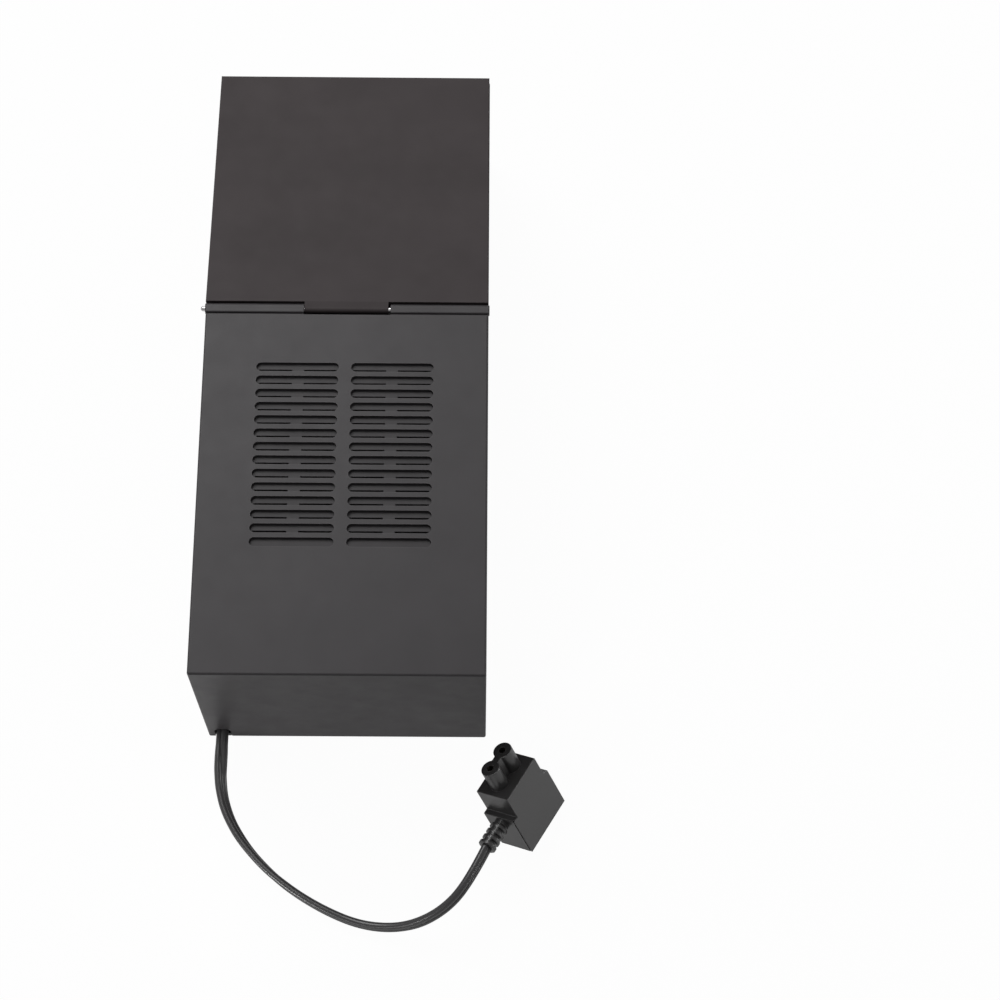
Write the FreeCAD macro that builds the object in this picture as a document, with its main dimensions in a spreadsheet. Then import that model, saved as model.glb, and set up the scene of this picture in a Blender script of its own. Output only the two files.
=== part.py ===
"""External hard drive enclosure with a hinged lid and a pass-through mains lead.

X runs to the right, Y from the cable end to the lid, and Z up from the table.
Lengths are in millimetres and angles in degrees.
"""

import math
import os
import re

import FreeCAD
import Part
import Sketcher

os.makedirs("parts", exist_ok=True)
doc = FreeCAD.newDocument("drive_enclosure")
Vector = FreeCAD.Vector

# Driving sizes, each in its own cell of the sheet
SIZES = {
    # Case
    "box_length": 143,
    "case_height": 80,
    "case_wall": 2.2,
    "roof_thickness": 2.4,
    "edge_round": 0.8,
    "foot_stand": 0.6,
    # Hinge
    "barrel_diameter": 4,
    "barrel_proud": 0.3,
    "hinge_gap": 0.4,
    "pin_diameter": 2,
    "pin_clearance": 0.05,
    "pin_grip": 0.01,
    "pin_proud": 1.8,
    "pin_recess": 0.5,
    "knuckle_length": 31.7,
    "knuckle_diameter": 3,
    "knuckle_shift": 0.15,
    "knuckle_gap": 0.5,
    "knuckle_relief": 0.6,
    "sill_drop": 0.5,
    "lintel_depth": 8,
    "lintel_back": 1,
    # Lid
    "lid_length": 106.8,
    "lid_thickness": 2.2,
    "lid_slope": 7,
    "lid_shift": 0.2,
    "lid_gap": 0.3,
    "lid_overhang": 0.6,
    "lid_round": 0.4,
    "rim_gap": 1,
    "rim_depth": 4,
    "rim_thickness": 1.6,
    "rim_setback": 4,
    "rib_depth": 3,
    "scoop_radius": 16,
    "scoop_depth": 6,
    # Vents
    "vent_rows": 14,
    "vent_pitch": 5.38,
    "vent_start": 50.66,
    "groove_length": 30.9,
    "groove_width": 3.5,
    "groove_depth": 2.4,
    "column_gap": 4.6,
    "vent_shift": 0.2,
    "vent_pad": 2,
    "vent_margin": 3,
    "slit_width": 1.3,
    "slit_edge": 0.15,
    "slit_bridge": 4.4,
    "slit_end": 1.65,
    # Base cover and what fastens it
    "base_thickness": 2.6,
    "base_recess": 0.2,
    "base_gap": 0.25,
    "tongue_drop": 0.6,
    "base_vent_length": 36,
    "base_vent_width": 3,
    "base_vent_pitch": 8,
    "base_vent_rows": 6,
    "boss_diameter": 7,
    "boss_root": 0.3,
    "boss_height": 34,
    "left_boss_inset": 21.5,
    "mid_boss_inset": 60,
    "screw_diameter": 2.9,
    "screw_fit": 0.05,
    "screw_length": 9,
    "short_screw_length": 6,
    "floor_skin": 0.5,
    "pilot_length": 12,
    "head_diameter": 5.2,
    "head_height": 1.1,
    "head_fit": 0.15,
    "recess_length": 2.8,
    "recess_width": 0.7,
    "recess_depth": 0.7,
    "foot_diameter": 12,
    "foot_seat": 0.8,
    "foot_fit": 0.15,
    "foot_side_inset": 13.5,
    "foot_end_inset": 22,
    # Drive bay
    "drive_length": 147,
    "drive_width": 101.6,
    "drive_side_gap": 0.5,
    "drive_hole_edge": 3.175,
    "drive_hole_pitch": 44.45,
    "drive_hole_start": 41.28,
    "drive_hole_diameter": 3.6,
    "tray_height": 30,
    "tray_thickness": 1,
    "tray_gap": 1,
    "tray_rear_reach": 5,
    "tray_front_reach": 15,
    "tray_flange": 6,
    "tray_slot_length": 40,
    "tray_slot_width": 8,
    "tray_slot_pitch": 22,
    "tray_slot_rows": 5,
    "pillar_diameter": 8,
    "pillar_inset": 9,
    "rear_pillar_reach": 23,
    "front_pillar_reach": 8,
    "peg_diameter": 3,
    "peg_fit": 0.2,
    "guard_thickness": 2,
    "guard_gap": 0.5,
    "guard_setback": 3,
    # Bridge board, its socket and port
    "board_thickness": 1.6,
    "bridge_setback": 10.2,
    "bridge_left": 20,
    "bridge_side_gap": 3.3,
    "bridge_margin": 4,
    "guide_size": 6,
    "guide_depth": 2.5,
    "guide_height": 40,
    "guide_fit": 0.15,
    "socket_width": 37,
    "socket_depth": 8.2,
    "socket_height": 6,
    "socket_centre": 20,
    "socket_lift": 2.5,
    "socket_slot_height": 2.4,
    "socket_slot_depth": 6,
    "data_slot_width": 11,
    "power_slot_width": 20,
    "slot_wall": 1.6,
    "chip_size": 10,
    "chip_height": 1.2,
    "port_width": 12.4,
    "port_height": 3.2,
    "port_length": 10,
    "port_recess": 0.4,
    "port_wall": 0.4,
    "port_fit": 0.3,
    "port_gap": 0.6,
    # Power board and what stands on it
    "standoff_height": 4,
    "standoff_diameter": 6,
    "supply_left_gap": 2.3,
    "supply_right_gap": 16.3,
    "supply_length": 95,
    "supply_setback": 18.8,
    "supply_screw_inset": 4.5,
    "pillar_relief": 0.8,
    "supply_hole_diameter": 3.2,
    "header_width": 22,
    "header_height": 6,
    "header_seat": 8,
    "core_width": 28,
    "core_length": 12,
    "core_height": 18,
    "winding_length": 22,
    "winding_width": 20,
    "bulk_diameter": 16,
    "bulk_height": 19,
    "choke_radius": 8,
    "choke_wire_radius": 3,
    "fuse_diameter": 5,
    "fuse_length": 20,
    "cap_diameter": 5.6,
    "cap_length": 5,
    "sink_length": 34,
    "sink_height": 18,
    "sink_plate": 2,
    "fin_thickness": 1.2,
    "fin_reach": 5,
    "fin_count": 5,
    "output_diameter": 9,
    "output_height": 16,
    "output_pitch": 12,
    # Mains lead, where it enters the case
    "cord_width": 5,
    "cord_inset": 5.8,
    "cord_notch_width": 6.4,
    "cord_notch_top": 10,
    "cord_inside": 6,
    "clamp_width": 12.5,
    "clamp_length": 11,
    "clamp_height": 9.6,
    "lead_diameter": 2.2,
    "lead_pitch": 4.5,
    "lead_length": 4.5,
    "lead_height": 8,
    "terminal_length": 9,
    "terminal_height": 8,
    # Plug block with its pass-through inlet
    "plug_thickness": 14.7,
    "plug_head_width": 20.2,
    "plug_width": 24.8,
    "plug_depth": 29.6,
    "near_step": 10.6,
    "far_step": 9.1,
    "far_slope": 1.4,
    "nose_diameter": 7.3,
    "nose_pitch": 8.7,
    "nose_length": 9.6,
    "nose_web": 3,
    "nose_waist": 0.5,
    "nose_round": 0.3,
    "plug_round": 0.25,
    "seam_width": 0.6,
    "seam_depth": 0.6,
    "seam_inset": 0.3,
    "contact_diameter": 2.8,
    "contact_bore": 2.4,
    "contact_recess": 3,
    "contact_length": 12,
    "inlet_width": 17.4,
    "inlet_height": 8.6,
    "inlet_depth": 11,
    "inlet_pin_diameter": 2.36,
    "inlet_pin_length": 9,
    "relief_drop": 14,
    "relief_length": 11.5,
    "relief_core": 5.4,
    "relief_ring": 7,
    "ring_width": 1.5,
    "ring_pitch": 2.65,
    "ring_count": 4,
}
sheet = doc.addObject("Spreadsheet::Sheet", "Sizes")
for row, (alias, size) in enumerate(SIZES.items(), 1):
    sheet.set("A%d" % row, alias)
    sheet.set("B%d" % row, str(size))
    sheet.setAlias("B%d" % row, alias)
doc.recompute()

# Places worked out from the driving sizes
PLACES = {
    "half_inside": "drive_width / 2 + drive_side_gap",
    "half_width": "half_inside + case_wall",
    "barrel_radius": "barrel_diameter / 2",
    "pin_offset": "barrel_radius + hinge_gap",
    "lid_front": "pin_offset + lid_length",
    "lid_low": "barrel_radius - lid_thickness",
    "front_reach": "lid_front * cos(lid_slope) + barrel_radius * sin(lid_slope)",
    "rear_face": "-(box_length + pin_offset + front_reach) / 2",
    "rear_inside": "rear_face + case_wall",
    "hinge_edge": "rear_face + box_length",
    "pin_y": "hinge_edge + pin_offset",
    "pin_z": "case_height - barrel_radius",
    "front_face": "pin_y + lid_front * cos(lid_slope) - lid_overhang",
    "front_inside": "front_face - case_wall",
    "roof_inside": "case_height - roof_thickness",
    "sill_z": "pin_z - sill_drop",
    "lintel_front": "pin_y + barrel_radius",
    "wall_line": "pin_z + (lid_low - lid_gap) / cos(lid_slope)",
    "wall_high": "wall_line - barrel_radius * tan(lid_slope)",
    "wall_low": "wall_line - (front_face - pin_y) * tan(lid_slope)",
    "knuckle_half": "knuckle_length / 2 + knuckle_gap",
    "barrel_end": "half_width + barrel_proud",
    "rim_half": "half_inside - rim_gap",
    "rim_rear": "pin_offset + rim_setback",
    "rim_front": "(front_inside - pin_y - rim_gap) / cos(lid_slope)",
    "column_offset": "(column_gap + groove_length) / 2",
    "vent_first": "rear_face + vent_start",
    "vent_last": "vent_first + (vent_rows - 1) * vent_pitch",
    "slit_start": "slit_bridge / 2",
    "slit_stop": "groove_length / 2 - slit_end",
    "slit_low": "slit_edge - groove_width / 2",
    "base_low": "foot_stand + base_recess",
    "base_top": "base_low + base_thickness",
    "boss_x": "half_inside - boss_diameter / 2 + boss_root",
    "rear_boss_y": "rear_inside + boss_diameter / 2 - boss_root",
    "front_boss_y": "front_inside - boss_diameter / 2 + boss_root",
    "mid_boss_y": "front_inside - mid_boss_inset",
    "left_boss_x": "left_boss_inset - half_width",
    "hole_diameter": "screw_diameter + 2 * screw_fit",
    "seat_diameter": "head_diameter + 2 * head_fit",
    "foot_x": "half_width - foot_side_inset",
    "foot_rear_y": "rear_face + foot_end_inset",
    "foot_front_y": "front_face - foot_end_inset",
    "bridge_y": "rear_inside + bridge_setback",
    "bridge_front": "bridge_y + board_thickness",
    "bridge_right": "half_inside - bridge_side_gap",
    "port_lift": "base_top + guide_height + port_gap",
    "bridge_height": "guide_height + port_gap + port_width + bridge_margin",
    "drive_rear": "bridge_front + socket_depth",
    "drive_front": "drive_rear + drive_length",
    "tray_top": "tray_height + tray_thickness",
    "tray_half": "half_inside - tray_gap",
    "tray_rear": "drive_rear - tray_rear_reach",
    "tray_front": "drive_front + tray_front_reach",
    "drive_hole_x": "drive_width / 2 - drive_hole_edge",
    "drive_hole_y": "drive_rear + drive_hole_start",
    "pillar_x": "half_inside - pillar_inset",
    "rear_pillar_y": "drive_rear + rear_pillar_reach",
    "front_pillar_y": "drive_front + front_pillar_reach",
    "socket_low": "tray_top + socket_lift",
    "supply_left": "half_inside - supply_left_gap",
    "supply_right": "half_inside - supply_right_gap",
    "supply_low": "base_top + standoff_height",
    "supply_top": "supply_low + board_thickness",
    "supply_rear": "rear_inside + supply_setback",
    "supply_front": "supply_rear + supply_length",
    "supply_hole_rear": "supply_rear + supply_screw_inset",
    "supply_hole_front": "supply_front - supply_screw_inset",
    "supply_hole_right": "supply_right - supply_screw_inset",
    "supply_hole_left": "-supply_left + supply_screw_inset",
    "supply_hole_mid": "-half_width + 2 * pillar_inset",
    "cord_x": "cord_inset - half_width",
    "clamp_rear": "rear_face + cord_inside",
    "clamp_front": "clamp_rear + clamp_length",
    "clamp_left": "-half_inside + base_gap",
    "clamp_seat": "base_top + short_screw_length - base_thickness + floor_skin",
    "terminal_rear": "clamp_front + lead_length",
    "terminal_x": "lead_pitch - supply_left",
}
NODES = []


def formula(text):
    """Spell a formula out in cells of the sheet."""
    def spell(found):
        word = found.group()
        if word in SIZES:
            return "Sizes." + word
        if word in PLACES:
            return "(" + formula(PLACES[word]) + ")"
        return word
    return re.sub(r"[a-z]\w*", spell, text)


def tie(thing, prop, text):
    """Bind one property to a formula."""
    thing.setExpression(prop, formula(text))


gauge = doc.addObject("App::FeaturePython", "Gauge")
gauge.addProperty("App::PropertyFloat", "Reading")


def reading(text):
    """The present value of a formula, as a first place for sketch geometry."""
    tie(gauge, "Reading", text)
    gauge.recompute()
    return gauge.Reading


def point(x, y):
    return Vector(reading(x), reading(y), 0)


def keep(thing, node):
    """Name a finished sub-part."""
    thing.Label = node
    NODES.append(thing)
    return thing


# Sketches

def new_body(node):
    return keep(doc.addObject("PartDesign::Body", node), node)


def new_sketch(body, plane, offset="0"):
    """Start a sketch on one of the body's own planes, moved along its normal."""
    sketch = body.newObject("Sketcher::SketchObject", "Sketch")
    support = next(f for f in body.Origin.OriginFeatures if f.Role == plane)
    sketch.AttachmentSupport = (support, [""])
    sketch.MapMode = "FlatFace"
    tie(sketch, "AttachmentOffset.Base.z", offset)
    return sketch


def measure(sketch, kind, geometry, end, text):
    """Hold one coordinate of a point at a formula's value."""
    held = Sketcher.Constraint(kind, -1, 1, geometry, end, reading(text))
    tie(sketch, "Constraints[%d]" % sketch.addConstraint(held), text)


def locate(sketch, geometry, end, x, y):
    measure(sketch, "DistanceX", geometry, end, x)
    measure(sketch, "DistanceY", geometry, end, y)


def close_loop(sketch, first, count):
    """Join consecutive edges end to start."""
    for step in range(count):
        after = first + (step + 1) % count
        sketch.addConstraint(Sketcher.Constraint("Coincident", first + step, 2, after, 1))


def outline(sketch, corners):
    """A closed outline of straight edges, each corner given as two formulas."""
    first = sketch.GeometryCount
    count = len(corners)
    ring = [point(x, y) for x, y in corners]
    for step in range(count):
        sketch.addGeometry(Part.LineSegment(ring[step], ring[(step + 1) % count]))
    close_loop(sketch, first, count)
    for step, (x, y) in enumerate(corners):
        locate(sketch, first + step, 1, x, y)


def rectangle(sketch, left, right, low, high):
    outline(sketch, [(left, low), (right, low), (right, high), (left, high)])


def circle(sketch, x, y, diameter):
    radius = reading(diameter) / 2
    number = sketch.addGeometry(Part.Circle(point(x, y), Vector(0, 0, 1), radius))
    locate(sketch, number, 3, x, y)
    width = sketch.addConstraint(Sketcher.Constraint("Diameter", number, 2 * radius))
    tie(sketch, "Constraints[%d]" % width, diameter)


def half_turn(x, y, width, start):
    """A half circle, run anticlockwise from an angle."""
    whole = Part.Circle(point(x, y), Vector(0, 0, 1), reading(width) / 2)
    return Part.ArcOfCircle(whole, math.radians(start), math.radians(start + 180))


def obround(sketch, x, y, length, width):
    """A slot with round ends, long along the sketch's X."""
    left = "%s - (%s - (%s)) / 2" % (x, length, width)
    right = "%s + (%s - (%s)) / 2" % (x, length, width)
    low = "%s - (%s) / 2" % (y, width)
    high = "%s + (%s) / 2" % (y, width)
    first = sketch.GeometryCount
    sketch.addGeometry(Part.LineSegment(point(left, low), point(right, low)))
    sketch.addGeometry(half_turn(right, y, width, -90))
    sketch.addGeometry(Part.LineSegment(point(right, high), point(left, high)))
    sketch.addGeometry(half_turn(left, y, width, 90))
    close_loop(sketch, first, 4)
    locate(sketch, first, 1, left, low)
    locate(sketch, first, 2, right, low)
    locate(sketch, first + 2, 1, right, high)
    locate(sketch, first + 2, 2, left, high)
    measure(sketch, "DistanceX", first + 1, 3, right)
    measure(sketch, "DistanceX", first + 3, 3, left)


def arch(sketch, x, low, spring, width):
    """A doorway outline with a round head that springs at the given height."""
    left = "%s - %s / 2" % (x, width)
    right = "%s + %s / 2" % (x, width)
    first = sketch.GeometryCount
    sketch.addGeometry(Part.LineSegment(point(left, low), point(right, low)))
    sketch.addGeometry(Part.LineSegment(point(right, low), point(right, spring)))
    sketch.addGeometry(half_turn(x, spring, width, 0))
    sketch.addGeometry(Part.LineSegment(point(left, spring), point(left, low)))
    close_loop(sketch, first, 4)
    locate(sketch, first, 1, left, low)
    locate(sketch, first, 2, right, low)
    locate(sketch, first + 1, 2, right, spring)
    locate(sketch, first + 3, 1, left, spring)
    measure(sketch, "DistanceY", first + 2, 3, spring)


# Features

def extrude(body, kind, sketch, length, both, reverse):
    feature = body.newObject("PartDesign::" + kind, kind)
    feature.Profile = sketch
    tie(feature, "Length", length)
    feature.SideType = "Symmetric" if both else "One side"
    feature.Reversed = reverse
    sketch.Visibility = False
    return feature


def grow(body, sketch, length, both=False, reverse=False):
    """Add material along the sketch's normal, or against it."""
    return extrude(body, "Pad", sketch, length, both, reverse)


def carve(body, sketch, length, both=False, reverse=False):
    """Take material away against the sketch's normal, or along it."""
    return extrude(body, "Pocket", sketch, length, both, reverse)


def repeat(body, feature, sketch, axis, pitch, count):
    """A straight row of one feature."""
    rows = body.newObject("PartDesign::LinearPattern", "Row")
    rows.Originals = [feature]
    rows.Direction = (sketch, [axis])
    tie(rows, "Length", "%s * (%s - 1)" % (pitch, count))
    tie(rows, "Occurrences", count)
    body.Tip = rows
    return rows


def round_edges(body, feature, chosen, radius):
    """Fillet the edges of a feature that pass a test."""
    doc.recompute()
    names = []
    for number, edge in enumerate(feature.Shape.Edges, 1):
        if chosen(edge.BoundBox, feature.Shape.BoundBox):
            names.append("Edge%d" % number)
    fillet = body.newObject("PartDesign::Fillet", "Fillet")
    fillet.Base = (feature, names)
    tie(fillet, "Radius", radius)
    return fillet


# Primitives

def move(thing, x, y, z):
    tie(thing, "Placement.Base.x", x)
    tie(thing, "Placement.Base.y", y)
    tie(thing, "Placement.Base.z", z)
    return thing


def block(width, length, height, x, y, z):
    """A box from its lowest corner."""
    box = doc.addObject("Part::Box", "Block")
    tie(box, "Length", width)
    tie(box, "Width", length)
    tie(box, "Height", height)
    return move(box, x, y, z)


TURNS = {
    "X": FreeCAD.Rotation(Vector(0, 1, 0), 90),
    "Y": FreeCAD.Rotation(Vector(1, 0, 0), -90),
    "Z": FreeCAD.Rotation(),
}


def post(diameter, height, x, y, z, axis="Z"):
    """A cylinder from the middle of its first end."""
    cylinder = doc.addObject("Part::Cylinder", "Post")
    tie(cylinder, "Radius", "(%s) / 2" % diameter)
    tie(cylinder, "Height", height)
    cylinder.Placement.Rotation = TURNS[axis]
    return move(cylinder, x, y, z)


def join(pieces):
    fused = doc.addObject("Part::MultiFuse", "Joined")
    fused.Shapes = pieces
    return fused


def cut(base, tools):
    result = doc.addObject("Part::Cut", "Cut")
    result.Base = base
    result.Tool = tools[0] if len(tools) == 1 else join(tools)
    return result


def screws(node, places, seat, length, upward=False):
    """Cross-recessed screws, one solid each, whose heads bear on the height given."""
    pieces = []
    for x, y in places:
        low_head = seat + (" - head_height" if upward else "")
        low_shank = seat + ("" if upward else " - " + length)
        head = post("head_diameter", "head_height", x, y, low_head)
        shank = post("screw_diameter", length, x, y, low_shank)
        low_bar = low_head + ("" if upward else " + head_height - recess_depth")
        across = block("recess_length", "recess_width", "recess_depth",
                       x + " - recess_length / 2", y + " - recess_width / 2", low_bar)
        along = block("recess_width", "recess_length", "recess_depth",
                      x + " - recess_width / 2", y + " - recess_length / 2", low_bar)
        pieces.append(cut(join([head, shank]), [across, along]))
    keep(pieces[0] if len(pieces) == 1 else join(pieces), node)


BASE_SCREWS = [
    ("left_boss_x", "rear_boss_y"),
    ("boss_x", "rear_boss_y"),
    ("-boss_x", "mid_boss_y"),
    ("boss_x", "mid_boss_y"),
    ("-boss_x", "front_boss_y"),
    ("boss_x", "front_boss_y"),
]
FEET = [
    ("-foot_x", "foot_rear_y"),
    ("foot_x", "foot_rear_y"),
    ("-foot_x", "foot_front_y"),
    ("foot_x", "foot_front_y"),
]
TRAY_SCREWS = [("-pillar_x", "front_pillar_y"), ("pillar_x", "front_pillar_y")]
TRAY_PEGS = [("-pillar_x", "rear_pillar_y"), ("pillar_x", "rear_pillar_y")]
BOARD_SCREWS = [
    ("supply_hole_mid", "supply_hole_rear"),
    ("supply_hole_right", "supply_hole_rear"),
    ("supply_hole_left", "supply_hole_front"),
    ("supply_hole_right", "supply_hole_front"),
]
CLAMP_SCREW = [("clamp_left + clamp_width - head_diameter", "(clamp_rear + clamp_front) / 2")]


def top_housing():
    """The long case moulding, open below and under the lid.

    Its side outline is padded across the width, hollowed, and given the lintel, barrels and bosses.
    """
    body = new_body("top_housing")
    side = new_sketch(body, "YZ_Plane")
    outline(side, [
        ("rear_face", "foot_stand"),
        ("front_face", "foot_stand"),
        ("front_face", "wall_low"),
        ("lintel_front", "wall_high"),
        ("lintel_front", "sill_z"),
        ("hinge_edge", "sill_z"),
        ("hinge_edge", "case_height"),
        ("rear_face", "case_height"),
    ])
    shell = grow(body, side, "2 * half_width", both=True)

    def outer(edge, whole):
        on_roof = edge.ZMin > whole.ZMax - 0.01
        upright = edge.XLength < 0.01 and edge.YLength < 0.01
        at_end = edge.YMin < whole.YMin + 0.01 or edge.YMax > whole.YMax - 0.01
        return on_roof or (upright and at_end)
    round_edges(body, shell, outer, "edge_round")

    hollow = new_sketch(body, "YZ_Plane")
    outline(hollow, [
        ("rear_inside", "-foot_stand"),
        ("front_inside", "-foot_stand"),
        ("front_inside", "case_height + foot_stand"),
        ("lintel_front", "case_height + foot_stand"),
        ("lintel_front", "case_height - lintel_depth"),
        ("hinge_edge - lintel_back", "case_height - lintel_depth"),
        ("hinge_edge - lintel_back", "roof_inside"),
        ("rear_inside", "roof_inside"),
    ])
    carve(body, hollow, "2 * half_inside", both=True)

    barrel = new_sketch(body, "YZ_Plane", "-barrel_end")
    circle(barrel, "pin_y", "pin_z", "barrel_diameter")
    grow(body, barrel, "barrel_end - knuckle_half")
    barrel = new_sketch(body, "YZ_Plane", "knuckle_half")
    circle(barrel, "pin_y", "pin_z", "barrel_diameter")
    grow(body, barrel, "barrel_end - knuckle_half")
    notch = new_sketch(body, "YZ_Plane")
    rectangle(notch, "hinge_edge - knuckle_relief", "lintel_front + hinge_gap",
              "pin_z - barrel_radius - knuckle_relief", "case_height + foot_stand")
    carve(body, notch, "2 * knuckle_half", both=True)
    bore = new_sketch(body, "YZ_Plane")
    circle(bore, "pin_y", "pin_z", "pin_diameter + 2 * pin_grip")
    carve(body, bore, "3 * barrel_end", both=True)

    pad = new_sketch(body, "XY_Plane", "roof_inside")
    rectangle(pad, "-column_offset - groove_length / 2 - vent_margin",
              "column_offset + groove_length / 2 + vent_margin",
              "vent_first - groove_width / 2 - vent_margin",
              "vent_last + groove_width / 2 + vent_margin")
    grow(body, pad, "vent_pad", reverse=True)
    grooves = new_sketch(body, "XY_Plane", "case_height")
    for column in ("-column_offset - vent_shift", "column_offset - vent_shift"):
        obround(grooves, column, "vent_first", "groove_length", "groove_width")
    first_row = carve(body, grooves, "groove_depth")
    repeat(body, first_row, grooves, "V_Axis", "vent_pitch", "vent_rows")
    slits = new_sketch(body, "XY_Plane", "case_height")
    for column in ("-column_offset - vent_shift", "column_offset - vent_shift"):
        for near, far in (("-slit_stop", "-slit_start"), ("slit_start", "slit_stop")):
            rectangle(slits, "%s + %s" % (column, near), "%s + %s" % (column, far),
                      "vent_first + vent_pitch + slit_low",
                      "vent_first + vent_pitch + slit_low + slit_width")
    first_slits = carve(body, slits, "roof_thickness + vent_pad + foot_stand")
    repeat(body, first_slits, slits, "V_Axis", "vent_pitch", "vent_rows - 1")

    rear_bosses = new_sketch(body, "XY_Plane", "base_top")
    front_bosses = new_sketch(body, "XY_Plane", "base_top")
    pilots = new_sketch(body, "XY_Plane", "base_top")
    for place, (x, y) in enumerate(BASE_SCREWS):
        circle(rear_bosses if place < 2 else front_bosses, x, y, "boss_diameter")
        circle(pilots, x, y, "hole_diameter")
    grow(body, rear_bosses, "roof_inside - base_top + boss_root")
    grow(body, front_bosses, "boss_height")
    carve(body, pilots, "pilot_length", reverse=True)

    cord_way = new_sketch(body, "XZ_Plane", "-rear_face")
    arch(cord_way, "cord_x", "-foot_stand", "cord_notch_top - cord_notch_width / 2", "cord_notch_width")
    carve(body, cord_way, "case_wall + boss_root")
    port_way = new_sketch(body, "YZ_Plane", "half_width")
    rectangle(port_way, "bridge_front - port_fit", "bridge_front + port_height + port_fit",
              "port_lift - port_fit", "port_lift + port_width + port_fit")
    carve(body, port_way, "case_wall + boss_root")
    scoop = new_sketch(body, "XZ_Plane", "-front_face")
    circle(scoop, "0", "wall_low + scoop_radius - scoop_depth", "2 * scoop_radius")
    carve(body, scoop, "case_wall + boss_root", reverse=True)


def lid():
    """The flap over the front compartment, built flat about the pin and then let down by its slope.

    The middle barrel runs on the pin, and a rim below drops inside the walls.
    """
    body = new_body("lid")
    plate = new_sketch(body, "XY_Plane", "lid_low")
    rectangle(plate, "-half_width", "half_width", "pin_offset", "lid_front")
    panel = grow(body, plate, "lid_thickness")

    def outer(edge, whole):
        on_top = edge.ZMin > whole.ZMax - 0.01
        return on_top and edge.YMax > whole.YMin + 0.01
    round_edges(body, panel, outer, "lid_round")

    web = new_sketch(body, "YZ_Plane", "-knuckle_shift")
    outline(web, [
        ("0", "lid_low"),
        ("pin_offset + rim_thickness", "lid_low"),
        ("pin_offset + rim_thickness", "barrel_radius"),
        ("pin_offset", "barrel_radius"),
        ("0", "knuckle_diameter / 2"),
    ])
    grow(body, web, "knuckle_length", both=True)
    barrel = new_sketch(body, "YZ_Plane", "-knuckle_shift")
    circle(barrel, "0", "0", "knuckle_diameter")
    grow(body, barrel, "knuckle_length", both=True)
    bore = new_sketch(body, "YZ_Plane")
    circle(bore, "0", "0", "pin_diameter + 2 * pin_clearance")
    carve(body, bore, "2 * knuckle_length", both=True)

    rim = new_sketch(body, "XY_Plane", "lid_low")
    rectangle(rim, "-rim_half", "rim_half", "rim_rear", "rim_front")
    rectangle(rim, "-rim_half + rim_thickness", "rim_half - rim_thickness",
              "rim_rear + rim_thickness", "rim_front - rim_thickness")
    grow(body, rim, "rim_depth", reverse=True)
    ribs = new_sketch(body, "XY_Plane", "lid_low")
    for share in ("1 / 3", "2 / 3"):
        middle = "rim_rear + (rim_front - rim_rear) * %s" % share
        rectangle(ribs, "-rim_half + rim_thickness / 2", "rim_half - rim_thickness / 2",
                  middle + " - rim_thickness / 2", middle + " + rim_thickness / 2")
    grow(body, ribs, "rib_depth", reverse=True)
    body.Placement.Rotation = FreeCAD.Rotation(Vector(-1, 0, 0), SIZES["lid_slope"])
    tie(body, "Placement.Rotation.Angle", "lid_slope")
    move(body, "-lid_shift", "pin_y", "pin_z")


def hinge_pin():
    """One steel pin through all three barrels, with a domed end standing out at the left."""
    start = "pin_diameter / 2 - barrel_end - pin_proud"
    rod = post("pin_diameter", "half_width - pin_recess - (%s)" % start, start, "pin_y", "pin_z", "X")
    dome = doc.addObject("Part::Sphere", "Dome")
    tie(dome, "Radius", "pin_diameter / 2")
    move(dome, start, "pin_y", "pin_z")
    keep(join([rod, dome]), "hinge_pin")


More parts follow.
